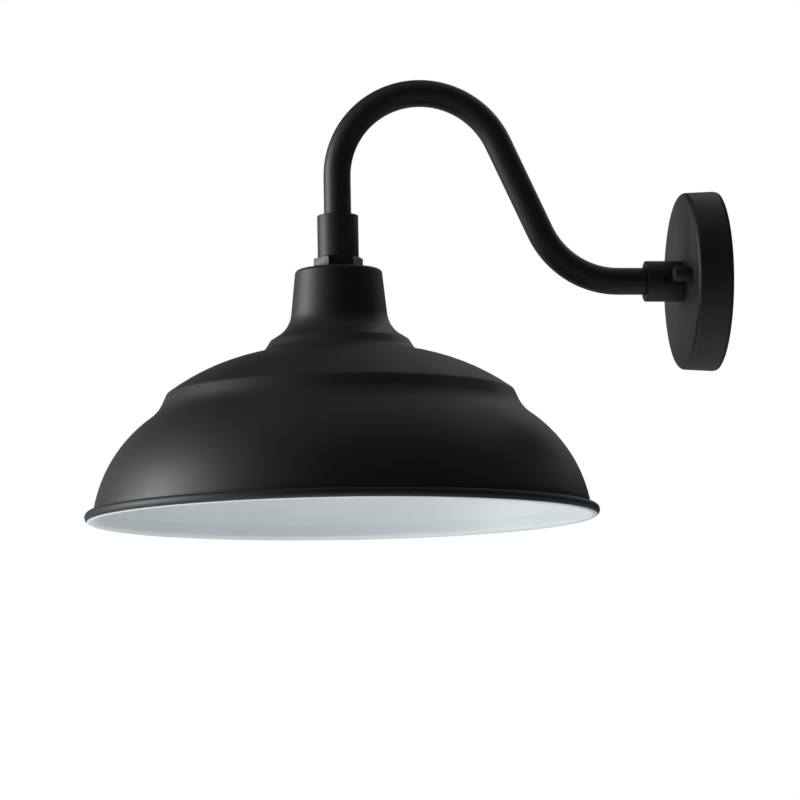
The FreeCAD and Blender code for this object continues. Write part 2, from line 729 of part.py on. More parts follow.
def side_holes(body, radius, height, start, length):
    """Two opposite holes along X, drilled outwards from the given distance."""
    for sign, outwards in (("", True), ("-", False)):
        hole = new_sketch(body, "YZ_Plane", sign + start)
        add_circle(hole, radius, "0", height)
        pocket(body, hole, length, reverse=outwards)


def build_socket_cap():
    """The metal cap that holds the socket on the threaded rod."""
    corner = "sizes.socket_cap_wall * 2"
    steps = [
        ("run", "(sizes.socket_cap_radius - %s - %s)" % (corner, NIPPLE_HOLE)),
        ("right", corner, "90"),
        ("run", "(sizes.socket_cap_height - %s)" % corner),
    ]
    body = pressed_shell("socket_cap", NIPPLE_HOLE, steps, "sizes.socket_cap_wall", ARM_TO_LAMP, CAP_TOP)
    side_holes(body, "(sizes.cap_screw_radius + sizes.thread_clearance)",
               "(sizes.cap_screw_height - sizes.socket_cap_height)",
               "(sizes.socket_cap_radius - sizes.socket_cap_wall * 2)", "(sizes.socket_cap_wall * 3)")
    return body


def build_socket_body():
    """The porcelain body: a neck inside the cap and a cavity for the lamp base."""
    neck = "(sizes.socket_cap_radius - sizes.socket_cap_wall - sizes.contact_pin_clearance)"
    pin_hole = "(sizes.contact_pin_radius + sizes.contact_pin_clearance)"
    pin_hole_top = "(%s + sizes.contact_pin_hole_depth)" % SOCKET_FLOOR
    recess_top = "(%s + sizes.contact_recess_depth)" % SOCKET_FLOOR
    outline = [
        ("0", SOCKET_TOP),
        (neck, SOCKET_TOP),
        (neck, SOCKET_SHOULDER),
        ("sizes.socket_cap_radius", SOCKET_SHOULDER),
        ("sizes.socket_cap_radius", SOCKET_BOTTOM),
        ("(sizes.socket_cavity_radius + sizes.socket_mouth_chamfer)", SOCKET_BOTTOM),
        ("sizes.socket_cavity_radius", "(%s + sizes.socket_mouth_chamfer)" % SOCKET_BOTTOM),
        ("sizes.socket_cavity_radius", SOCKET_FLOOR),
        ("sizes.contact_recess_radius", SOCKET_FLOOR),
        ("sizes.contact_recess_radius", recess_top),
        (pin_hole, recess_top),
        (pin_hole, pin_hole_top),
        ("0", pin_hole_top),
    ]
    body = on_lamp_axis("socket_body", outline)
    terminals = new_sketch(body, "XY_Plane", SOCKET_TOP)
    for side in ("-", ""):
        add_circle(terminals, "(sizes.terminal_shank_radius + sizes.thread_clearance)",
                   "0", side + "sizes.terminal_offset")
    pocket(body, terminals, "(sizes.terminal_shank_length + sizes.thread_clearance)")
    side_holes(body, "(sizes.cap_screw_radius + sizes.thread_clearance)", CAP_SCREW_Z,
               "(sizes.socket_cap_radius - sizes.cap_screw_length)", "sizes.cap_screw_length * 2")
    return body


def build_screw_shell():
    """The brass shell that takes the lamp's threaded base."""
    outer = "(sizes.shell_bore + sizes.shell_sheet)"
    steps = [
        ("run", "(%s - sizes.shell_corner - sizes.shell_flange_bore)" % outer),
        ("right", "sizes.shell_corner", "90"),
        ("run", "(%s - %s - sizes.shell_corner - sizes.shell_recess)" % (SOCKET_FLOOR, SOCKET_BOTTOM)),
    ]
    return pressed_shell("screw_shell", "sizes.shell_flange_bore", steps, "sizes.shell_sheet",
                         ARM_TO_LAMP, SOCKET_FLOOR)


def build_headed_screw(label, sizes_of, x, y, z, turn):
    """A round-headed screw: the head stands on the body's XY plane, the shank goes below it."""
    head_radius, head_height, shank_radius, shank_length = sizes_of
    outline = [
        ("0", "-" + shank_length),
        (shank_radius, "-" + shank_length),
        (shank_radius, "0"),
        (head_radius, "0"),
        (head_radius, head_height),
        ("0", head_height),
    ]
    return turned(label, outline, x, y, z, turn)


def build_socket():
    keep(build_socket_cap())
    cap_screw = ("sizes.cap_screw_head_radius", "sizes.cap_screw_head_height", "sizes.cap_screw_radius",
                 "(sizes.cap_screw_length - sizes.thread_clearance)")
    cap_screws = []
    for name, sign, turn in (("left", "-", TO_LEFT), ("right", "+", TO_RIGHT)):
        x = "(%s %s sizes.socket_cap_radius)" % (ARM_TO_LAMP, sign)
        cap_screws.append(build_headed_screw("socket_cap_screw_" + name, cap_screw, x, "0", CAP_SCREW_Z, turn))
    keep(group("socket_cap_screws", cap_screws))
    keep(build_socket_body())
    keep(build_screw_shell())
    terminal = ("sizes.terminal_head_radius", "sizes.terminal_head_height",
                "sizes.terminal_shank_radius", "sizes.terminal_shank_length")
    for label, side in (("hot_terminal_screw", ""), ("neutral_terminal_screw", "-")):
        keep(build_headed_screw(label, terminal, ARM_TO_LAMP, side + "sizes.terminal_offset", SOCKET_TOP, None))
    contact_top = "(%s + sizes.contact_lift)" % SOCKET_FLOOR
    pin_top = "(%s + sizes.contact_pin_length)" % contact_top
    contact_foot = "(%s - sizes.contact_height)" % contact_top
    keep(on_lamp_axis("centre_contact", [
        ("0", contact_foot),
        ("sizes.contact_radius", contact_foot),
        ("sizes.contact_radius", contact_top),
        ("sizes.contact_pin_radius", contact_top),
        ("sizes.contact_pin_radius", pin_top),
        ("0", pin_top),
    ]))


# ---------------------------------------------------------------- leads

def build_wall_leads():
    """The two leads that leave the arm's wall end, and the earth lead, each with a wire connector."""
    start_run = "(-sizes.lead_wall_turn_start - %s)" % TUBE_WALL_END
    lead_x = "(-sizes.lead_wall_turn_start + sizes.lead_wall_bend)"
    lead_end = "(sizes.lead_wall_bend + sizes.lead_wall_rise - sizes.connector_overlap)"
    hole = "(sizes.lead_radius + sizes.thread_clearance)"
    connector = [
        (hole, "0"),
        ("sizes.connector_radius", "0"),
        ("sizes.connector_tip_radius", "sizes.connector_length"),
        ("0", "sizes.connector_length"),
        ("0", "sizes.connector_overlap"),
        (hole, "sizes.connector_overlap"),
    ]
    connectors = []
    for name, side, bend, sign, turn in (("hot", "", "left", "", None),
                                         ("neutral", "-", "right", "-", UPSIDE_DOWN)):
        steps = [("run", start_run), (bend, "sizes.lead_wall_bend", "90"), ("run", "sizes.lead_wall_rise")]
        y = side + "sizes.lead_offset"
        keep(swept("wall_%s_lead" % name, ["sizes.lead_radius"], steps, TUBE_WALL_END, y, "0", TO_WALL))
        connectors.append(turned("connector_" + name, connector, lead_x, y, sign + lead_end, turn))
    steps = [
        ("run", "sizes.ground_lead_start"),
        ("left", "sizes.ground_lead_bend", "sizes.ground_lead_lean"),
        ("run", "sizes.ground_lead_slope"),
        ("right", "sizes.ground_lead_bend", "sizes.ground_lead_lean"),
        ("run", "sizes.ground_lead_end"),
    ]
    keep(swept("ground_lead", ["sizes.lead_radius"], steps, GROUND_LEAD_X, "-sizes.ground_offset",
               "sizes.terminal_barrel_end", None))
    shift = ("(2 * sizes.ground_lead_bend * (1 - cos(sizes.ground_lead_lean))"
             " + sizes.ground_lead_slope * sin(sizes.ground_lead_lean))")
    rise = ("(sizes.ground_lead_start + sizes.ground_lead_end + 2 * sizes.ground_lead_bend"
            " * sin(sizes.ground_lead_lean) + sizes.ground_lead_slope * cos(sizes.ground_lead_lean))")
    connector_foot = "(sizes.terminal_barrel_end + %s - sizes.connector_overlap)" % rise
    connectors.append(turned("connector_ground", connector, "(%s - %s)" % (GROUND_LEAD_X, shift),
                             "-sizes.ground_offset", connector_foot, None))
    keep(group("wire_connectors", connectors))


def build_lamp_leads():
    """The two leads from the arm's lamp end down through the rod to the socket's terminals."""
    drop = "(%s - %s - sizes.terminal_head_height - 2 * sizes.lead_lamp_bend)" % (TUBE_LAMP_END, SOCKET_TOP)
    for name, side, across in (("hot", "", 1), ("neutral", "-", -1)):
        steps = [
            ("run", drop),
            ("right", "sizes.lead_lamp_bend", "90"),
            ("left", "sizes.lead_lamp_bend", "90"),
        ]
        turn = axes((0, across, 0), (0, 0, -1))
        keep(swept("lamp_%s_lead" % name, ["sizes.lead_radius"], steps, ARM_TO_LAMP,
                   side + "sizes.lead_offset", TUBE_LAMP_END, turn))


# ---------------------------------------------------------------- the whole lantern

build_wall_side()
build_arm()
build_shade_side()
build_socket()
build_wall_leads()
build_lamp_leads()
doc.recompute()

for item in doc.Objects:
    if "Invalid" in item.State or "Error" in item.State:
        raise RuntimeError("%s did not compute" % item.Label)

os.makedirs("parts", exist_ok=True)
for piece in SUBPARTS:
    if piece.Shape.isNull() or not piece.Shape.isValid():
        raise RuntimeError("%s has no valid shape" % piece.Label)
    piece.Shape.exportStep("parts/%s.step" % piece.Label)
    print("%-24s solids %d  volume %9.1f" % (piece.Label, len(piece.Shape.Solids), piece.Shape.Volume))
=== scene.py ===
# %% [markdown]
# # A gooseneck wall lantern
# The lantern has three groups of pieces: what is fixed to the wall, the bent
# arm, and the shade with its lamp socket. Their places come from the packed
# model, so this lesson only has to give each visible piece its fine shape and
# its finish. All lengths below are in millimetres, times MM.

# %% Load the frame
from math import atan2, ceil, cos, degrees, pi, radians, sin, tan

import bpy
from mathutils import Matrix, Vector


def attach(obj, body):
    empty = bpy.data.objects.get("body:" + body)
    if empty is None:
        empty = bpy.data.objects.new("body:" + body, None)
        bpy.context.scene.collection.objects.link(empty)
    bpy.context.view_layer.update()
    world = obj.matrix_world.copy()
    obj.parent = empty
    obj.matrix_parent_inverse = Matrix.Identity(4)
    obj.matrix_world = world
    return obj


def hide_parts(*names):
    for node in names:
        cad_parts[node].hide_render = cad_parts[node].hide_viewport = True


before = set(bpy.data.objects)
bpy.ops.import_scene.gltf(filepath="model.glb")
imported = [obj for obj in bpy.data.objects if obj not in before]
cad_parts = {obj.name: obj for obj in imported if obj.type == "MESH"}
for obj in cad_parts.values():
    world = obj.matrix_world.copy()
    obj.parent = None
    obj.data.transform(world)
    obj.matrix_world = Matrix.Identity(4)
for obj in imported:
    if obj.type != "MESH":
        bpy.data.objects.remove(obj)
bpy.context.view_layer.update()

MM = 0.001

# %% [markdown]
# ## The camera
# The lantern is looked at from a little below the shade's rim, with a long
# lens from two and a half metres away, so that its outline hardly tapers.
# A camera looks along its own -Z: it is tipped up from the floor by 90
# degrees plus the pitch, turned by the yaw, and rolled about its view.

# %% Camera
CAMERA_PLACE = Vector((-0.5690, -2.5770, -0.3842))
CAMERA_YAW = radians(7.575)
CAMERA_PITCH = radians(6.59)
CAMERA_ROLL = radians(-1.02)
CAMERA_LENS = 168.9


def add_camera():
    bpy.ops.object.camera_add(location=CAMERA_PLACE)
    camera = bpy.context.object
    turn = Matrix.Rotation(-CAMERA_YAW, 3, "Z")
    tip = Matrix.Rotation(pi / 2 + CAMERA_PITCH, 3, "X")
    roll = Matrix.Rotation(CAMERA_ROLL, 3, "Z")
    camera.rotation_euler = (turn @ tip @ roll).to_euler()
    camera.data.lens = CAMERA_LENS
    camera.data.sensor_width = 36
    camera.data.clip_start = 0.05
    bpy.context.scene.camera = camera
    return camera


camera = add_camera()
print("camera lens", camera.data.lens, "mm")

# %% [markdown]
# ## Small tools
# Blender's operators act on all that is selected, so every step starts by
# deselecting. A finished piece has its place in its mesh, with its origin
# at the world's origin, which is what `settle` does.

# %% Select, settle and finish a piece
FLAT_SHADING_ABOVE = radians(34)


def select_only(*objects):
    if bpy.context.mode != "OBJECT":
        bpy.ops.object.mode_set(mode="OBJECT")
    bpy.ops.object.select_all(action="DESELECT")
    for item in objects:
        item.select_set(True)
    if objects:
        bpy.context.view_layer.objects.active = objects[0]


def settle(piece, place=(0, 0, 0), turn=(0, 0, 0)):
    """Moves a piece to its place, in millimetres, and keeps the place in its mesh."""
    select_only(piece)
    piece.rotation_euler = turn
    piece.location = Vector(place) * MM
    bpy.ops.object.transform_apply(location=True, rotation=True, scale=True)
    return piece


def apply_modifiers(piece):
    select_only(piece)
    for modifier in list(piece.modifiers):
        bpy.ops.object.modifier_apply(modifier=modifier.name)


def smooth(piece, angle=FLAT_SHADING_ABOVE):
    select_only(piece)
    bpy.ops.object.shade_smooth_by_angle(angle=angle)


def triangles(piece):
    return sum(len(face.vertices) - 2 for face in piece.data.polygons)


def complete(piece, body, slot, materials, *nodes):
    """Paints a finished piece, hangs it on its body and hides its CAD nodes."""
    smooth(piece)
    piece.data.materials.clear()
    for material in materials:
        piece.data.materials.append(material)
    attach(piece, body)
    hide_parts(*nodes)
    print("%-22s %6d triangles" % (piece.name, triangles(piece)))
    return piece


# %% [markdown]
# ## Node groups for the finishes
# The paint, the metals and the plastics all have a fine grain and slow
# patches of tone. One group makes both, from the piece's own coordinates.
# A second finds the outer edges, where handling rubs a finish first and
# where a painted highlight is laid along every edge, and a third draws the
# fine parallel lines of rolled or turned metal.

# %% Grain, edge and line groups
def new_group(name, inputs, outputs):
    group = bpy.data.node_groups.new(name, "ShaderNodeTree")
    for label, value in inputs:
        socket = group.interface.new_socket(label, in_out="INPUT", socket_type="NodeSocketFloat")
        socket.default_value = value
    for label in outputs:
        group.interface.new_socket(label, in_out="OUTPUT", socket_type="NodeSocketFloat")
    return group, group.nodes.new("NodeGroupInput"), group.nodes.new("NodeGroupOutput")


def noise(tree, scale, detail, roughness=0.5):
    node = tree.nodes.new("ShaderNodeTexNoise")
    node.inputs["Scale"].default_value = scale
    node.inputs["Detail"].default_value = detail
    node.inputs["Roughness"].default_value = roughness
    return node


def make_grain_group():
    """Grain: fine bumps. Patches: slow changes of tone from 0 to 1."""
    group, given, result = new_group("surface_grain", [("Grain Scale", 1200), ("Patch Scale", 18)],
                                     ["Grain", "Patches"])
    place = group.nodes.new("ShaderNodeTexCoord")
    fine = noise(group, 1200, 3, 0.6)
    slow = noise(group, 18, 4, 0.55)
    for node, label in ((fine, "Grain Scale"), (slow, "Patch Scale")):
        group.links.new(place.outputs["Object"], node.inputs["Vector"])
        group.links.new(given.outputs[label], node.inputs["Scale"])
    spread = group.nodes.new("ShaderNodeMapRange")
    spread.inputs["From Min"].default_value = 0.3
    spread.inputs["From Max"].default_value = 0.7
    group.links.new(slow.outputs["Fac"], spread.inputs["Value"])
    group.links.new(fine.outputs["Fac"], result.inputs["Grain"])
    group.links.new(spread.outputs["Result"], result.inputs["Patches"])
    return group


def make_edge_wear_and_highlight_group():
    """Edge: 1 on outer edges and corners, broken up by a noise, and 0 elsewhere."""
    # The lighter edges stand for wear and also lay a painted highlight on every edge.
    group, given, result = new_group("edge_wear_and_highlight_mask", [("Start", 0.54), ("End", 0.62)], ["Edge"])
    shape = group.nodes.new("ShaderNodeNewGeometry")
    ramp = group.nodes.new("ShaderNodeMapRange")
    group.links.new(shape.outputs["Pointiness"], ramp.inputs["Value"])
    group.links.new(given.outputs["Start"], ramp.inputs["From Min"])
    group.links.new(given.outputs["End"], ramp.inputs["From Max"])
    place = group.nodes.new("ShaderNodeTexCoord")
    broken = noise(group, 260, 3)
    group.links.new(place.outputs["Object"], broken.inputs["Vector"])
    product = group.nodes.new("ShaderNodeMath")
    product.operation = "MULTIPLY"
    group.links.new(ramp.outputs["Result"], product.inputs[0])
    group.links.new(broken.outputs["Fac"], product.inputs[1])
    group.links.new(product.outputs[0], result.inputs["Edge"])
    return group


def make_lines_group():
    """Lines: long fine streaks across the chosen axis, for rolled and turned metal."""
    group, given, result = new_group("fine_lines", [("Along X", 60), ("Along Y", 60), ("Along Z", 2600)],
                                     ["Lines"])
    place = group.nodes.new("ShaderNodeTexCoord")
    stretch = group.nodes.new("ShaderNodeVectorMath")
    stretch.operation = "MULTIPLY"
    scales = group.nodes.new("ShaderNodeCombineXYZ")
    for axis in "XYZ":
        group.links.new(given.outputs["Along " + axis], scales.inputs[axis])
    group.links.new(place.outputs["Object"], stretch.inputs[0])
    group.links.new(scales.outputs["Vector"], stretch.inputs[1])
    streaks = noise(group, 1, 2)
    group.links.new(stretch.outputs["Vector"], streaks.inputs["Vector"])
    group.links.new(streaks.outputs["Fac"], result.inputs["Lines"])
    return group


GRAIN = make_grain_group()
EDGE_WEAR_AND_HIGHLIGHT = make_edge_wear_and_highlight_group()
LINES = make_lines_group()
print("node groups:", [group.name for group in bpy.data.node_groups])

# %% [markdown]
# ## One recipe for every finish
# Each finish is a Principled shader. Its colour drifts a little with the
# patches and turns lighter on its edges, partly for wear and partly as a
# painted highlight, its roughness follows the same patches, and the grain
# makes its bump. The values differ from one finish to the next: powder coat
# is a dark satin with a close pebble, enamel is smoother, porcelain is
# glassy and zinc has rolled lines.

# %% The recipe
def place_group(tree, group, **values):
    node = tree.nodes.new("ShaderNodeGroup")
    node.node_tree = group
    for label, value in values.items():
        node.inputs[label.replace("_", " ")].default_value = value
    return node


def drift(tree, amount, low, high):
    """Turns a 0 to 1 mask into a value between low and high."""
    ramp = tree.nodes.new("ShaderNodeMapRange")
    ramp.inputs["To Min"].default_value = low
    ramp.inputs["To Max"].default_value = high
    tree.links.new(amount, ramp.inputs["Value"])
    return ramp.outputs["Result"]


def blend_colours(tree, amount, first, second):
    mix = tree.nodes.new("ShaderNodeMix")
    mix.data_type = "RGBA"
    for socket, colour in ((mix.inputs[6], first), (mix.inputs[7], second)):
        if isinstance(colour, bpy.types.NodeSocket):
            tree.links.new(colour, socket)
        else:
            socket.default_value = (*colour, 1)
    tree.links.new(amount, mix.inputs[0])
    return mix.outputs[2]


def make_finish(name, colour, roughness, metal=0.0, grain=1200, patches=18, bump=0.02, tone=0.12,
                wear_and_highlight_colour=None, lines=None, coat=0.0, specular=0.5):
    """A finish. bump is in millimetres, tone is how far the colour and roughness drift."""
    material = bpy.data.materials.new(name)
    material.use_nodes = True
    tree = material.node_tree
    shader = tree.nodes["Principled BSDF"]
    shader.inputs["Metallic"].default_value = metal
    shader.inputs["Specular IOR Level"].default_value = specular
    shader.inputs["Coat Weight"].default_value = coat
    shader.inputs["Coat Roughness"].default_value = 0.08
    surface = place_group(tree, GRAIN, Grain_Scale=grain, Patch_Scale=patches)
    darker = [c * (1 - tone) for c in colour]
    lighter = [min(1, c * (1 + tone)) for c in colour]
    tint = blend_colours(tree, surface.outputs["Patches"], darker, lighter)
    # Lighter edges: real wear and a painted highlight together.
    if wear_and_highlight_colour:
        edge = place_group(tree, EDGE_WEAR_AND_HIGHLIGHT)
        tint = blend_colours(tree, edge.outputs["Edge"], tint, wear_and_highlight_colour)
    tree.links.new(tint, shader.inputs["Base Color"])
    smoothest = roughness * (1 - tone / 2)
    roughest = roughness * (1 + tone / 2)
    tree.links.new(drift(tree, surface.outputs["Patches"], smoothest, roughest), shader.inputs["Roughness"])
    relief = tree.nodes.new("ShaderNodeBump")
    relief.inputs["Distance"].default_value = bump * MM
    height = surface.outputs["Grain"]
    if lines:
        height = place_group(tree, LINES, **lines).outputs["Lines"]
    tree.links.new(height, relief.inputs["Height"])
    tree.links.new(relief.outputs["Normal"], shader.inputs["Normal"])
    return material


# %% The finishes
ALONG_Z = dict(Along_X=60, Along_Y=60, Along_Z=2600)

powder_coat = make_finish("black_powder_coat", (0.0100, 0.0097, 0.0122), 0.53, grain=1500, patches=14,
                          bump=0.035, tone=0.14, wear_and_highlight_colour=(0.022, 0.0215, 0.025))
nut_black = make_finish("black_nut", (0.010, 0.010, 0.011), 0.46, grain=900, patches=40, bump=0.02,
                        tone=0.15, wear_and_highlight_colour=(0.035, 0.035, 0.037))
enamel = make_finish("white_shade_inside", (0.745, 0.785, 0.795), 0.42, grain=700, patches=12, bump=0.02,
                     tone=0.02)
black_oxide = make_finish("black_oxide_screw", (0.02, 0.02, 0.021), 0.33, metal=0.6, grain=2500,
                          bump=0.008, wear_and_highlight_colour=(0.16, 0.16, 0.16))
zinc = make_finish("zinc_plate", (0.56, 0.57, 0.58), 0.34, metal=1.0, grain=1500, patches=90, bump=0.006,
                   tone=0.16, wear_and_highlight_colour=(0.75, 0.75, 0.75))
rolled_zinc = make_finish("rolled_zinc_strap", (0.56, 0.57, 0.58), 0.36, metal=1.0, patches=60, bump=0.012,
                          tone=0.18, lines=dict(Along_X=400, Along_Y=25, Along_Z=1600))
tin = make_finish("tin_plate", (0.66, 0.65, 0.62), 0.38, metal=1.0, grain=1800, patches=150, bump=0.006)
nickel = make_finish("nickel_plate", (0.68, 0.66, 0.62), 0.25, metal=1.0, grain=2200, patches=120, bump=0.004)
brass = make_finish("drawn_brass", (0.72, 0.50, 0.20), 0.30, metal=1.0, patches=70, bump=0.008, tone=0.16,
                    lines=ALONG_Z)
aluminium = make_finish("spun_aluminium", (0.66, 0.66, 0.67), 0.34, metal=1.0, patches=50, bump=0.010,
                        tone=0.10, lines=ALONG_Z)
green_plate = make_finish("green_screw_plate", (0.02, 0.20, 0.06), 0.30, metal=0.7, grain=1800,
                          patches=160, bump=0.008, wear_and_highlight_colour=(0.25, 0.32, 0.20))
porcelain = make_finish("glazed_porcelain", (0.80, 0.78, 0.72), 0.16, grain=260, patches=30, bump=0.03,
                        tone=0.03, coat=0.5)
foam = make_finish("closed_cell_foam", (0.022, 0.022, 0.022), 0.92, grain=1400, patches=60, bump=0.25,
                   tone=0.25)
rubber = make_finish("seal_rubber", (0.03, 0.03, 0.03), 0.7, grain=1600, bump=0.03)
black_insulation = make_finish("black_insulation", (0.015, 0.015, 0.015), 0.42, grain=900, bump=0.02)
white_insulation = make_finish("white_insulation", (0.72, 0.72, 0.69), 0.45, grain=900, bump=0.02, tone=0.05)
green_insulation = make_finish("green_insulation", (0.02, 0.22, 0.07), 0.42, grain=900, bump=0.02)
connector_plastic = make_finish("connector_plastic", (0.72, 0.24, 0.03), 0.38, grain=1100, patches=70,
                                bump=0.03, tone=0.08)
print("finishes:", len(bpy.data.materials))

# %% [markdown]
# ## Sections
# Most pieces are round, so each starts as a section: a list of points that
# say how far from the axis and how high. `walk` draws one like a pen, with
# straight runs and arcs. `rounded` takes the corners of a section and rounds
# each by its own radius, because no real edge is sharp enough to catch no
# light.

# %% Draw a section
ARC_STEP = 5.0      # degrees between the points of an arc


def walk(start, heading, steps, arc_step=ARC_STEP):
    """Points along runs and arcs: ("run", length), ("left" or "right", radius, degrees)."""
    x, z = start
    angle = radians(heading)
    points = [(x, z)]
    for kind, *amounts in steps:
        if kind == "run":
            x += amounts[0] * cos(angle)
            z += amounts[0] * sin(angle)
            points.append((x, z))
            continue
        radius, turn = amounts
        side = 1 if kind == "left" else -1
        centre_x = x - side * radius * sin(angle)
        centre_z = z + side * radius * cos(angle)
        count = max(2, ceil(turn / arc_step))
        for number in range(count):
            angle += side * radians(turn) / count
            points.append((centre_x + side * radius * sin(angle), centre_z - side * radius * cos(angle)))
        x, z = points[-1]
    return points


def inside_of(steps, sheet):
    """The same walk one sheet further in, on its right-hand side."""
    change = {"left": sheet, "right": -sheet}
    return [(kind, amounts[0] + change[kind], amounts[1]) if kind in change else (kind, *amounts)
            for kind, *amounts in steps]


def rounded(corners, closed=True, arc_points=4):
    """Points of a section whose corners (x, z, radius) are rounded."""
    points = []
    count = len(corners)
    for number, (x, z, radius) in enumerate(corners):
        here = Vector((x, z))
        if radius == 0 or (not closed and number in (0, count - 1)):
            points.append((x, z))
            continue
        before = (Vector(corners[number - 1][:2]) - here).normalized()
        after = (Vector(corners[(number + 1) % count][:2]) - here).normalized()
        half = before.angle(after) / 2
        middle = (before + after).normalized()
        centre = here + middle * (radius / sin(half))
        first = here + before * (radius / tan(half)) - centre
        last = here + after * (radius / tan(half)) - centre
        sweep = first.angle_signed(last)
        for step in range(arc_points + 1):
            angle = -sweep * step / arc_points
            turned_point = centre + Matrix.Rotation(angle, 2) @ first
            points.append(tuple(turned_point))
    return points


# %% [markdown]
# ## Turning a section
# A lathe shape could come from the Spin tool or the Screw modifier. Here a
# circle is added at the section's first point, then extruded and scaled
# from point to point, as one does by hand with E and S. Each ring keeps the
# same number of sides, so the surface stays smooth and even.

# %% Turn a section about Z
def turned(name, section, sides=96, closed=True):
    """A round piece about Z. A closed section comes back to its start; an open one gets its ends capped."""
    radius, height = section[0]
    select_only()
    bpy.ops.mesh.primitive_circle_add(vertices=sides, radius=radius * MM, location=(0, 0, height * MM))
    piece = bpy.context.object
    piece.name = name
    bpy.ops.object.mode_set(mode="EDIT")
    bpy.ops.mesh.select_all(action="SELECT")
    for next_radius, next_height in section[1:] + ([section[0]] if closed else []):
        step = (0, 0, (next_height - height) * MM)
        bpy.ops.mesh.extrude_edges_move(TRANSFORM_OT_translate={"value": step})
        scale = next_radius / radius
        bpy.ops.transform.resize(value=(scale, scale, 1), center_override=(0, 0, 0))
        radius, height = next_radius, next_height
    bpy.ops.mesh.select_all(action="SELECT")
    bpy.ops.mesh.remove_doubles(threshold=1e-6)
    if not closed:
        bpy.ops.mesh.fill_holes(sides=0)
    bpy.ops.mesh.normals_make_consistent(inside=False)
    bpy.ops.object.mode_set(mode="OBJECT")
    return settle_here(piece)


def settle_here(piece):
    """Keeps the place a new primitive was given, in its mesh."""
    select_only(piece)
    bpy.ops.object.transform_apply(location=True, rotation=True, scale=True)
    return piece


TO_ROOM = (0, -pi / 2, 0)       # what was up now points away from the wall
REACH = 268.0
LAMP_AXIS = (-REACH, 0, 0)

# %% [markdown]
# ## The shade
# The real shade is one round sheet of steel pressed over a former: a flat
# top, a slightly tapered neck, a flare, a small step, a low crown, a big
# step, a deep bowl and a rim curled outwards and under into a hollow bead.
# Its section is walked twice, outside and inside, one sheet apart. The
# inside and the underside of the bead are painted white.

# %% Shade
SHEET = 1.0
ROD_HOLE = 5.15
NECK_TOP = 7.5
SHADE_WALK = [
    ("run", 22.4),
    ("right", 3.0, 84.0),
    ("run", 28.4),
    ("left", 21.0, 52.0),
    ("run", 5.7),
    ("right", 1.5, 26.0),
    ("run", 5.6),
    ("left", 9.0, 47.0),
    ("right", 158.0, 25.0),
    ("right", 4.0, 30.0),
    ("run", 6.0),
    ("left", 27.0, 30.5),
    ("right", 97.0, 43.0),
    ("right", 10.0, 11.5),
    ("run", 5.7),
    ("left", 2.8, 235.0),
]


def faces_towards(piece, wanted):
    """Selects the faces whose outward normal suits the given test."""
    select_only(piece)
    bpy.ops.object.mode_set(mode="EDIT")
    bpy.ops.mesh.select_all(action="DESELECT")
    bpy.ops.object.mode_set(mode="OBJECT")
    for face in piece.data.polygons:
        face.select = wanted(face)
    bpy.ops.object.mode_set(mode="EDIT")


def paint_selected(piece, index):
    piece.active_material_index = index
    bpy.ops.object.material_slot_assign()
    bpy.ops.object.mode_set(mode="OBJECT")


def is_white_side(face):
    """True on the inside and on the bead's underside: the normal points in or steeply down."""
    outwards = Vector((face.center.x + REACH * MM, face.center.y, 0)).normalized()
    return face.normal.dot(outwards) * 0.83 + face.normal.z * 0.56 < 0


outer_skin = walk((ROD_HOLE, 0), 0, SHADE_WALK, 3.5)
inner_skin = walk((ROD_HOLE, -SHEET), 0, inside_of(SHADE_WALK, SHEET), 3.5)
shade = turned("spun_shade", outer_skin + inner_skin[::-1], sides=192)
settle(shade, (-REACH, 0, NECK_TOP))
complete(shade, "shade_head", "black_paint", [powder_coat, enamel], "shade")
faces_towards(shade, is_white_side)
paint_selected(shade, 1)
print("shade", [round(c / MM, 1) for c in shade.dimensions])

# %% [markdown]
# ## The arm
# A gooseneck is bent from one straight tube. The circle of its wall end is
# extruded along the straight runs and spun about the centres of the two
# bends. Solidify then gives the tube its wall.

# %% Arm
TUBE_RADIUS = 9.525
TUBE_WALL = 1.25
WALL_END = -32.8
LAMP_END = 26.3
BEND = 60.0
LEAN = radians(24.5)
ARM_TOP = 133.5
SLANT_RUN = (ARM_TOP - 2 * BEND * (1 - sin(LEAN))) / cos(LEAN)
WALL_RUN = REACH - BEND - 2 * BEND * cos(LEAN) - SLANT_RUN * sin(LEAN) + WALL_END
DROP_RUN = ARM_TOP - BEND - LAMP_END


def extrude_by(x, z):
    bpy.ops.mesh.extrude_edges_move(TRANSFORM_OT_translate={"value": (x * MM, 0, z * MM)})


def bend_about(x, z, angle):
    """Spins the open end about a centre. Spin counts its angle clockwise when seen along the axis."""
    steps = max(4, ceil(abs(degrees(angle)) / 3))
    bpy.ops.mesh.spin(steps=steps, angle=-angle, center=(x * MM, 0, z * MM), axis=(0, 1, 0))


def bent_tube():
    select_only()
    bpy.ops.mesh.primitive_circle_add(vertices=64, radius=TUBE_RADIUS * MM, rotation=(0, pi / 2, 0),
                                      location=(WALL_END * MM, 0, 0))
    tube = bpy.context.object
    tube.name = "bent_arm"
    bpy.ops.object.mode_set(mode="EDIT")
    bpy.ops.mesh.select_all(action="SELECT")
    lower_x = WALL_END - WALL_RUN
    upper_x = -REACH + BEND
    extrude_by(-WALL_RUN, 0)
    bend_about(lower_x, BEND, pi / 2 - LEAN)
    extrude_by(-SLANT_RUN * sin(LEAN), SLANT_RUN * cos(LEAN))
    bend_about(upper_x, ARM_TOP - BEND, -(pi - LEAN))
    extrude_by(0, -DROP_RUN)
    bpy.ops.mesh.select_all(action="SELECT")
    bpy.ops.mesh.remove_doubles(threshold=1e-6)
    bpy.ops.mesh.normals_make_consistent(inside=False)
    bpy.ops.object.mode_set(mode="OBJECT")
    settle_here(tube)
    return tube


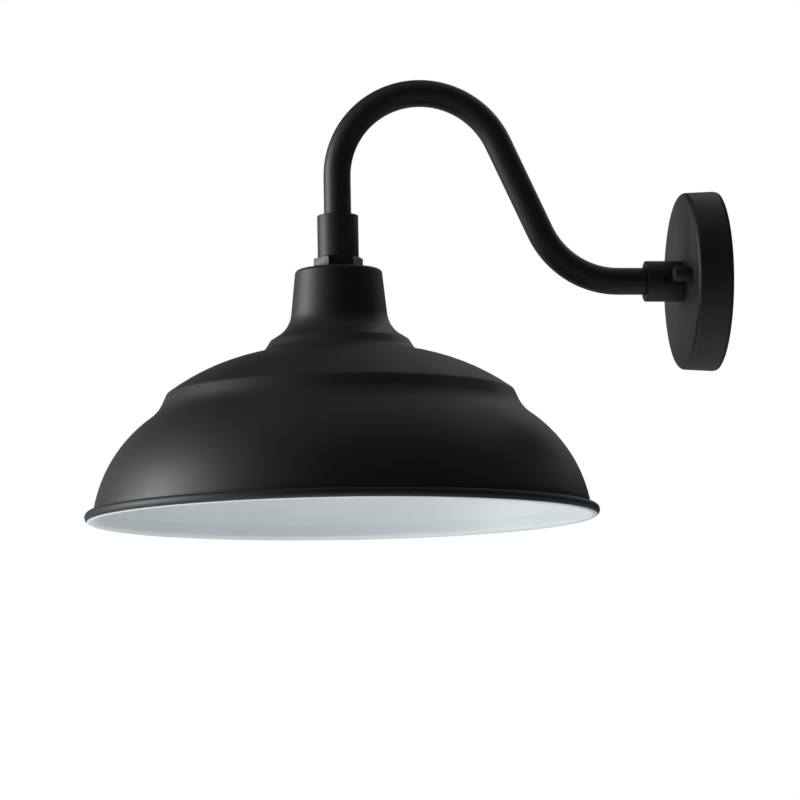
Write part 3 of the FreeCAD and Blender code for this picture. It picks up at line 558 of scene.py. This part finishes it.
arm = bent_tube()
wall = arm.modifiers.new("wall", "SOLIDIFY")
wall.thickness = TUBE_WALL * MM
wall.offset = -1
apply_modifiers(arm)
complete(arm, "arm", "black_paint", [powder_coat], "gooseneck_arm")

# %% [markdown]
# ## The two tube fittings
# The wall collar and the shade hub are turned alike, and the hub is a little
# longer. A set screw goes through a hole in its side and grips the tube. The hole is cut with a
# Boolean by a round cutter that flares at its mouth, which leaves the small
# countersink that catches the light.

# %% Fittings
FITTING_RADIUS = 14.4
TUBE_HOLE = TUBE_RADIUS + 0.05
HUB_FOOT = 16.0
COLLAR_FACE = -24.5


def cut(piece, cutter):
    bite = piece.modifiers.new("cut", "BOOLEAN")
    bite.operation = "DIFFERENCE"
    bite.object = cutter
    apply_modifiers(piece)
    bpy.data.objects.remove(cutter)


def fitting(name, length, foot, screw_height, side, place, turn):
    """A tube fitting standing on its closed end, with its set-screw hole towards +Y or -Y."""
    section = rounded([
        (ROD_HOLE, 0, 0.3),
        (FITTING_RADIUS, 0, 0.6),
        (FITTING_RADIUS, length, 0.6),
        (TUBE_HOLE, length, 0.4),
        (TUBE_HOLE, foot, 0),
        (ROD_HOLE, foot, 0),
    ])
    piece = turned(name, section, sides=128)
    cutter = turned("cutter", [(2.55, 0), (2.55, 4.2), (3.4, 5.4), (3.4, 9), (0, 9)], sides=48, closed=False)
    settle(cutter, (0, side * TUBE_RADIUS, screw_height), (-side * pi / 2, 0, 0))
    cut(piece, cutter)
    return settle(piece, place, turn)


COLLAR_SIZES = (26.0, 8.0, 12.5)    # length, thickness of the closed end, height of the set screw
HUB_SIZES = (30.0, 10.0, 13.5)

collar = fitting("wall_tube_collar", *COLLAR_SIZES, -1, (COLLAR_FACE, 0, 0), TO_ROOM)
complete(collar, "wall_plate", "black_paint", [powder_coat], "wall_collar")
hub = fitting("shade_tube_hub", *HUB_SIZES, 1, (-REACH, 0, HUB_FOOT), (0, 0, 0))
complete(hub, "shade_head", "black_paint", [powder_coat], "shade_hub")

# %% [markdown]
# ## The canopy
# The canopy is a shallow pressed cup, open towards the wall, with a soft
# edge around its face. Behind its rim lies a ring of foam that keeps the
# rain out, and two long round nuts hold it from the front.

# %% Canopy, gasket and cap nuts
CANOPY_WALL = 1.2
CANOPY_WALK = [("run", 59.5 - ROD_HOLE), ("right", 3.0, 87.2), ("run", 19.6)]
GASKET = (58.5, 63.1, 2.0)
STUD_HOLE = 2.05
STUD_PLACES = (-34.9, 34.9)
CAP_NUT_RADIUS = 5.1
CAP_NUT_HEIGHT = 12.5
CAP_NUT_HOLE_DEPTH = 10.5

canopy_outside = walk((ROD_HOLE, 0), 0, CANOPY_WALK)
canopy_inside = walk((ROD_HOLE, -CANOPY_WALL), 0, inside_of(CANOPY_WALK, CANOPY_WALL))
canopy = turned("pressed_canopy", canopy_outside + canopy_inside[::-1], sides=160)
settle(canopy, (COLLAR_FACE, 0, 0), TO_ROOM)
complete(canopy, "wall_plate", "black_paint", [powder_coat], "canopy")

gasket_inner, gasket_outer, gasket_depth = GASKET
foam_ring = turned("foam_gasket", rounded([
    (gasket_inner, 0, 0.5),
    (gasket_outer, 0, 0.5),
    (gasket_outer, gasket_depth, 0.5),
    (gasket_inner, gasket_depth, 0.5),
]), sides=128)
settle(foam_ring, turn=TO_ROOM)
complete(foam_ring, "wall_plate", "foam", [foam], "canopy_gasket")


def cap_nut(name, y):
    """A closed round nut with a softly crowned end."""
    outside = rounded([
        (STUD_HOLE, 0, 0),
        (CAP_NUT_RADIUS, 0, 0.25),
        (CAP_NUT_RADIUS, CAP_NUT_HEIGHT, 1.1),
        (1.2, CAP_NUT_HEIGHT, 0),
        (0, CAP_NUT_HEIGHT, 0),
    ], closed=False)
    nut = turned(name, outside, sides=64, closed=False)
    hole = [(STUD_HOLE, -1), (STUD_HOLE, CAP_NUT_HOLE_DEPTH), (0, CAP_NUT_HOLE_DEPTH)]
    drill = turned("drill", hole, sides=32, closed=False)
    cut(nut, drill)
    settle(nut, (COLLAR_FACE, y, 0), TO_ROOM)
    return nut


for where, y in zip(("front", "rear"), STUD_PLACES):
    nut = cap_nut("cap_nut_" + where, y)
    complete(nut, "wall_plate", "black_paint", [powder_coat], "cap_nuts")

# %% [markdown]
# ## Nuts, washers, screws and straps
# The small hardware is right as it was drawn, except that its edges are
# perfectly sharp. A copy of each is merged, its flat faces are joined, and
# a Bevel modifier rounds every edge sharper than the limit.

# %% Soften the small hardware
def softened(node, name, width, angle=28, segments=2):
    """A copy of a CAD node with rounded edges. width is in millimetres."""
    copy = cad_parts[node].copy()
    copy.data = copy.data.copy()
    copy.name = name
    for key in list(copy.keys()):
        del copy[key]
    copy.parent = None
    bpy.context.scene.collection.objects.link(copy)
    copy.hide_render = copy.hide_viewport = False
    select_only(copy)
    bpy.ops.object.mode_set(mode="EDIT")
    bpy.ops.mesh.select_all(action="SELECT")
    bpy.ops.mesh.remove_doubles(threshold=1e-6)
    bpy.ops.mesh.dissolve_limited(angle_limit=radians(0.5))
    bpy.ops.object.mode_set(mode="OBJECT")
    bevel = copy.modifiers.new("soft_edge", "BEVEL")
    bevel.width = width * MM
    bevel.segments = segments
    bevel.limit_method = "ANGLE"
    bevel.angle_limit = radians(angle)
    bevel.harden_normals = True
    apply_modifiers(copy)
    return copy


HARDWARE = [
    # node, new name, body, slot, finish, edge width
    ("shade_lock_nut", "hex_lock_nut", "shade_head", "black_paint", nut_black, 0.30),
    ("wall_collar_set_screw", "collar_grub_screw", "wall_plate", "black_screw", black_oxide, 0.15),
    ("hub_set_screw", "hub_grub_screw", "shade_head", "black_screw", black_oxide, 0.15),
    ("crossbar", "crossbar_strap", "wall_plate", "zinc_steel", rolled_zinc, 0.25),
    ("canopy_stud_nuts", "stud_nuts", "wall_plate", "zinc_steel", zinc, 0.12),
    ("ground_screw", "earth_screw", "wall_plate", "green_screw", green_plate, 0.18),
    ("ground_terminal", "earth_ring_terminal", "wall_plate", "tinned_terminal", tin, 0.10),
    ("wall_lock_washer", "canopy_washer", "wall_plate", "zinc_steel", zinc, 0.12),
    ("wall_nipple_nut", "canopy_rod_nut", "wall_plate", "zinc_steel", zinc, 0.18),
    ("inner_lock_nut", "shade_inner_nut", "shade_head", "zinc_steel", zinc, 0.18),
    ("socket_cap_nut", "cap_rod_nut", "shade_head", "zinc_steel", zinc, 0.18),
    ("shade_seal", "rubber_seal", "shade_head", "rubber_seal", rubber, 0.20),
    ("socket_cap_screws", "cap_screws", "shade_head", "zinc_steel", zinc, 0.20),
    ("hot_terminal_screw", "brass_terminal_screw", "shade_head", "brass", brass, 0.25),
    ("neutral_terminal_screw", "nickel_terminal_screw", "shade_head", "nickel", nickel, 0.25),
]

for node, name, body, slot, finish, width in HARDWARE:
    piece = softened(node, name, width)
    complete(piece, body, slot, [finish], node)

# %% [markdown]
# ## Threaded rods
# A thread is one wave that climbs as it turns. The wave is drawn up the
# rod's side as a row of points, and the Screw modifier carries it round,
# one pitch per turn. Bisect trims both ends flat, and filling closes them.

# %% Threads
def thread_skin(name, radius, depth, pitch, low, high, sides, waves=6):
    """A helical skin about Z from low to high, in millimetres, cut flat at both ends and left open."""
    turns = ceil((high - low) / pitch) + 2
    start = low - pitch
    select_only()
    bpy.ops.mesh.primitive_circle_add(vertices=3, radius=radius * MM)
    skin = bpy.context.object
    skin.name = name
    bpy.ops.object.mode_set(mode="EDIT")
    bpy.ops.mesh.select_all(action="SELECT")
    bpy.ops.mesh.merge(type="CENTER")
    bpy.ops.transform.translate(value=(radius * MM, 0, start * MM))
    for number in range(waves):
        here = radius - depth * (1 - cos(2 * pi * number / waves)) / 2
        there = radius - depth * (1 - cos(2 * pi * (number + 1) / waves)) / 2
        step = ((there - here) * MM, 0, pitch / waves * MM)
        bpy.ops.mesh.extrude_vertices_move(TRANSFORM_OT_translate={"value": step})
    bpy.ops.object.mode_set(mode="OBJECT")
    settle_here(skin)
    helix = skin.modifiers.new("helix", "SCREW")
    helix.angle = 2 * pi
    helix.screw_offset = pitch * MM
    helix.iterations = turns
    helix.steps = helix.render_steps = sides
    helix.use_merge_vertices = True
    helix.merge_threshold = 1e-6
    apply_modifiers(skin)
    select_only(skin)
    bpy.ops.object.mode_set(mode="EDIT")
    for height, above in ((low, False), (high, True)):
        bpy.ops.mesh.select_all(action="SELECT")
        bpy.ops.mesh.bisect(plane_co=(0, 0, height * MM), plane_no=(0, 0, 1),
                            clear_outer=above, clear_inner=not above)
    bpy.ops.mesh.select_all(action="SELECT")
    bpy.ops.mesh.remove_doubles(threshold=2e-6)
    bpy.ops.object.mode_set(mode="OBJECT")
    return skin


def threaded_rod(name, radius, pitch, low, high, sides=32, bore=0):
    """A rod about Z with a thread cut into its side, closed at both ends and bored through if asked."""
    depth = pitch * 0.55
    rod = thread_skin(name, radius, depth, pitch, low, high, sides)
    select_only(rod)
    bpy.ops.object.mode_set(mode="EDIT")
    bpy.ops.mesh.select_all(action="SELECT")
    bpy.ops.mesh.fill_holes(sides=0)
    bpy.ops.mesh.normals_make_consistent(inside=False)
    bpy.ops.object.mode_set(mode="OBJECT")
    if bore:
        drill = turned("drill", [(bore, low - 1), (bore, high + 1), (0, high + 1)], sides=32, closed=False)
        cut(rod, drill)
    return rod


STUD_RADIUS = 2.0
STUD_LENGTH = 32.0
NIPPLE_RADIUS = 5.1
NIPPLE_BORE = 3.4
NIPPLE_PITCH = 1.27
WALL_ROD = (13.0, 32.5)     # where each rod starts and ends along its axis
SHADE_ROD = (-5.0, 24.0)

for where, y in zip(("front", "rear"), STUD_PLACES):
    stud = threaded_rod("canopy_stud_" + where, STUD_RADIUS, 0.8, 0, STUD_LENGTH, sides=24)
    settle(stud, (0, y, 0), TO_ROOM)
    complete(stud, "wall_plate", "zinc_steel", [zinc], "canopy_studs")

wall_nipple = threaded_rod("wall_rod", NIPPLE_RADIUS, NIPPLE_PITCH, *WALL_ROD, sides=40, bore=NIPPLE_BORE)
settle(wall_nipple, turn=TO_ROOM)
complete(wall_nipple, "wall_plate", "zinc_steel", [zinc], "wall_nipple")
shade_nipple = threaded_rod("shade_rod", NIPPLE_RADIUS, NIPPLE_PITCH, *SHADE_ROD, sides=40, bore=NIPPLE_BORE)
settle(shade_nipple, LAMP_AXIS)
complete(shade_nipple, "shade_head", "zinc_steel", [zinc], "shade_nipple")
for rod in (wall_nipple, shade_nipple):
    print(rod.name, [round(c / MM, 1) for c in rod.dimensions])

# %% [markdown]
# ## The lamp socket
# A spun metal cap hangs on the threaded rod and holds a porcelain body.
# Inside it a brass shell has the wide rolled thread that takes the lamp,
# and a button on a spring pin makes the centre contact. The porcelain is
# cast, so all its corners are soft and its glaze is glassy.

# %% Socket
CAP_TOP = 1.3
CAP_HEIGHT = 22.0
CAP_RADIUS = 20.7
CAP_WALL = 1.2
SHOULDER = CAP_TOP - CAP_HEIGHT
SOCKET_TOP = SHOULDER + 6.5
SOCKET_FLOOR = SOCKET_TOP - 12.0
SOCKET_MOUTH = SHOULDER - 36.0
SHELL_RADIUS = 13.8
SHELL_PITCH = 3.63

cap_walk = [("run", CAP_RADIUS - 2.4 - ROD_HOLE), ("right", 2.4, 90), ("run", CAP_HEIGHT - 2.4)]
cap_outside = walk((ROD_HOLE, CAP_TOP), 0, cap_walk)
cap_inside = walk((ROD_HOLE, CAP_TOP - CAP_WALL), 0, inside_of(cap_walk, CAP_WALL))
socket_cap = turned("spun_socket_cap", cap_outside + cap_inside[::-1], sides=96)
settle(socket_cap, LAMP_AXIS)
complete(socket_cap, "shade_head", "socket_cap_metal", [aluminium], "socket_cap")

body_section = rounded([
    (0.4, SOCKET_TOP, 0),
    (CAP_RADIUS - CAP_WALL - 0.06, SOCKET_TOP, 1.0),
    (CAP_RADIUS - CAP_WALL - 0.06, SHOULDER, 0),
    (CAP_RADIUS, SHOULDER, 0.8),
    (CAP_RADIUS, SHOULDER - 10, 0),
    (CAP_RADIUS - 0.7, SHOULDER - 11, 0),
    (CAP_RADIUS - 0.7, SHOULDER - 12.5, 0),
    (CAP_RADIUS, SHOULDER - 13.5, 0),
    (CAP_RADIUS, SOCKET_MOUTH, 2.0),
    (15.2, SOCKET_MOUTH, 1.6),
    (15.2, SOCKET_FLOOR, 0),
    (5.5, SOCKET_FLOOR, 0.4),
    (5.5, SOCKET_FLOOR + 3, 0),
    (1.56, SOCKET_FLOOR + 3, 0),
    (1.56, SOCKET_FLOOR + 9, 0),
    (0.4, SOCKET_FLOOR + 9, 0),
])
socket_body = turned("porcelain_body", body_section, sides=96)
for side in (-1, 1):
    drill = turned("drill", [(1.85, -6.1), (1.85, 4), (0, 4)], sides=24, closed=False)
    settle(drill, (0, side * 9.3, SOCKET_TOP))
    cut(socket_body, drill)
settle(socket_body, LAMP_AXIS)
complete(socket_body, "shade_head", "porcelain", [porcelain], "socket_body")

# %% [markdown]
# ## The screw shell
# The shell is thin drawn brass, so its thread shows inside and out. The
# threaded skin gets its 0.5 mm wall from Solidify, and a turned flange
# closes the top around the contact.

# %% Shell and centre contact
SHELL_MOUTH = SOCKET_MOUTH + 1.0
SHELL_TOP = SOCKET_FLOOR - 1.2
SHELL_THREAD_DEPTH = 0.45
shell = thread_skin("threaded_shell", SHELL_RADIUS, SHELL_THREAD_DEPTH, SHELL_PITCH, SHELL_MOUTH, SHELL_TOP,
                    72, waves=10)
select_only(shell)
bpy.ops.object.mode_set(mode="EDIT")
bpy.ops.mesh.select_all(action="SELECT")
bpy.ops.mesh.normals_make_consistent(inside=False)
bpy.ops.object.mode_set(mode="OBJECT")
sheet = shell.modifiers.new("sheet", "SOLIDIFY")
sheet.thickness = 0.4 * MM
sheet.offset = -1
apply_modifiers(shell)
flange_walk = [("run", SHELL_RADIUS - 1 - 7.0), ("right", 1.0, 90), ("run", 0.6)]
flange_outside = walk((7.0, SOCKET_FLOOR), 0, flange_walk)
flange_inside = walk((7.0, SOCKET_FLOOR - 0.5), 0, inside_of(flange_walk, 0.5))
flange = turned("shell_flange", flange_outside + flange_inside[::-1], sides=72)
select_only(shell, flange)
bpy.ops.object.join()
settle(shell, LAMP_AXIS)
complete(shell, "shade_head", "brass", [brass], "screw_shell")

contact_top = SOCKET_FLOOR + 0.2
contact = turned("contact_button", rounded([
    (2.0, contact_top - 1.3, 0),
    (4.5, contact_top - 1.0, 0.2),
    (4.5, contact_top, 0.15),
    (1.5, contact_top, 0),
    (1.5, contact_top + 6.5, 0),
    (0, contact_top + 6.5, 0),
], closed=False), sides=48, closed=False)
settle(contact, LAMP_AXIS)
complete(contact, "centre_contact", "brass", [brass], "centre_contact")

# %% [markdown]
# ## Wire connectors
# Each joint between a lantern lead and a house wire is made in a tapered
# plastic connector with grip ribs. It is turned as a plain cone, and every
# third and fourth side is then drawn in a little to leave the ribs.

# %% Connectors
CONNECTOR_LENGTH = 18.0
LEAD_HOLE = 1.15


def connector(name, place, turn):
    section = rounded([
        (LEAD_HOLE, 0, 0.2),
        (4.6, 0, 0.5),
        (4.6, 2.6, 0),
        (4.3, 3.0, 0),
        (4.1, 4.2, 0),
        (2.75, 16.4, 0),
        (2.6, CONNECTOR_LENGTH, 0.9),
        (1.0, CONNECTOR_LENGTH, 0),
        (0, CONNECTOR_LENGTH, 0),
    ], closed=False)
    piece = turned(name, section, sides=48, closed=False)
    for vertex in piece.data.vertices:
        angle = degrees(atan2(vertex.co.y, vertex.co.x)) % 30
        in_groove = 3.7 < angle < 18.7
        vertex.select = in_groove and 4.0 * MM < vertex.co.z < 16.6 * MM
    bpy.ops.object.mode_set(mode="EDIT")
    bpy.ops.transform.resize(value=(0.9, 0.9, 1), center_override=(0, 0, 0))
    bpy.ops.object.mode_set(mode="OBJECT")
    return settle(piece, place, turn)


UPRIGHT = (0, 0, 0)
UPSIDE_DOWN = (pi, 0, 0)
CONNECTORS = [
    ("connector_hot", (-7, 1.3, 23), UPRIGHT),
    ("connector_neutral", (-7, -1.3, -23), UPSIDE_DOWN),
    ("connector_earth", (-8.993, -18, 28.02), UPRIGHT),
]
for name, place, turn in CONNECTORS:
    piece = connector(name, place, turn)
    complete(piece, "wall_plate", "connector_plastic", [connector_plastic], "wire_connectors")

# %% [markdown]
# ## Leads
# The insulated leads are plain smooth tubes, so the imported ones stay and
# only get their finish.

# %% Leads
LEADS = {"hot": black_insulation, "neutral": white_insulation}
for stretch in ("wall", "arm", "lamp"):
    for kind, finish in LEADS.items():
        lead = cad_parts["%s_%s_lead" % (stretch, kind)]
        for slot in lead.material_slots:
            slot.material = finish
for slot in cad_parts["ground_lead"].material_slots:
    slot.material = green_insulation

left_over = [name for name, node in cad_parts.items() if not node.hide_render]
print("CAD nodes that stay:", sorted(left_over))

# %% [markdown]
# ## Floor and light
# The lantern hangs in a white studio over a pale floor. The camera sees a
# white background and an even floor, but the room itself is dim, so the
# black paint keeps its depth. A tall soft light at the left, slightly
# behind, draws the highlights down the left of the neck, the tube and the
# nut. A weak one above fills the crown, one behind on the right picks out
# the right-hand edges, and one straight behind is seen by the canopy's face
# at a grazing angle. A small one below fills the white inside of the shade.

# %% Floor, world and lights
FLOOR_HEIGHT = -0.62
LOOK_AT = Vector((-0.2, 0, -0.02))


def add_floor():
    select_only()
    bpy.ops.mesh.primitive_plane_add(size=12, location=(0, 0, FLOOR_HEIGHT))
    floor = bpy.context.object
    floor.name = "studio_floor"
    material = bpy.data.materials.new("pale_floor")
    material.use_nodes = True
    shader = material.node_tree.nodes["Principled BSDF"]
    shader.inputs["Base Color"].default_value = (0.86, 0.86, 0.86, 1)
    shader.inputs["Roughness"].default_value = 0.85
    shader.inputs["Emission Color"].default_value = (0.55, 0.55, 0.55, 1)
    path = material.node_tree.nodes.new("ShaderNodeLightPath")
    material.node_tree.links.new(path.outputs["Is Camera Ray"], shader.inputs["Emission Strength"])
    floor.data.materials.append(material)


def set_world(seen, room):
    """The camera sees one brightness, and the lantern is lit by another."""
    world = bpy.data.worlds.new("studio")
    bpy.context.scene.world = world
    world.use_nodes = True
    tree = world.node_tree
    tree.nodes.clear()
    background = tree.nodes.new("ShaderNodeBackground")
    background.inputs["Color"].default_value = (1, 1, 1, 1)
    path = tree.nodes.new("ShaderNodeLightPath")
    strength = tree.nodes.new("ShaderNodeMapRange")
    strength.inputs["To Min"].default_value = room
    strength.inputs["To Max"].default_value = seen
    output = tree.nodes.new("ShaderNodeOutputWorld")
    tree.links.new(path.outputs["Is Camera Ray"], strength.inputs["Value"])
    tree.links.new(strength.outputs["Result"], background.inputs["Strength"])
    tree.links.new(background.outputs["Background"], output.inputs["Surface"])


def add_soft_light(name, place, width, height, power, colour, target):
    bpy.ops.object.light_add(type="AREA", location=place)
    light = bpy.context.object
    light.name = name
    light.data.shape = "RECTANGLE"
    light.data.size = width
    light.data.size_y = height
    light.data.energy = power
    light.data.color = colour
    light.visible_camera = False
    light.rotation_euler = (target - Vector(place)).to_track_quat("-Z", "Y").to_euler()
    return light


add_floor()
set_world(seen=1.0, room=0.06)
bpy.context.scene.view_settings.view_transform = "Standard"

COOL_WHITE = (0.93, 0.97, 1.0)
VIOLET_WHITE = (0.985, 0.975, 1.0)
SHADE_MIDDLE = Vector((-REACH, 0, -60)) * MM
BELOW_SHADE = Vector((-REACH - 40, -60, -520)) * MM
LIGHTS = [
    # name, place, width and height in metres, power in watts, colour, what it is aimed at
    ("left_softbox", (-2.5, 0.3, 0.2), 0.9, 1.8, 66, VIOLET_WHITE, LOOK_AT),
    ("top_softbox", (-0.2, -0.2, 2.3), 2.4, 2.0, 4, (1, 1, 1), LOOK_AT),
    ("right_wall", (1.2, 1.3, 1.5), 2.0, 2.0, 10, (1, 1, 1), LOOK_AT),
    ("back_wall", (-0.6, 2.2, 0.1), 2.0, 2.0, 3, (1, 1, 1), LOOK_AT),
    ("under_fill", BELOW_SHADE, 0.45, 0.45, 0.82, COOL_WHITE, SHADE_MIDDLE),
]
for light in LIGHTS:
    add_soft_light(*light)
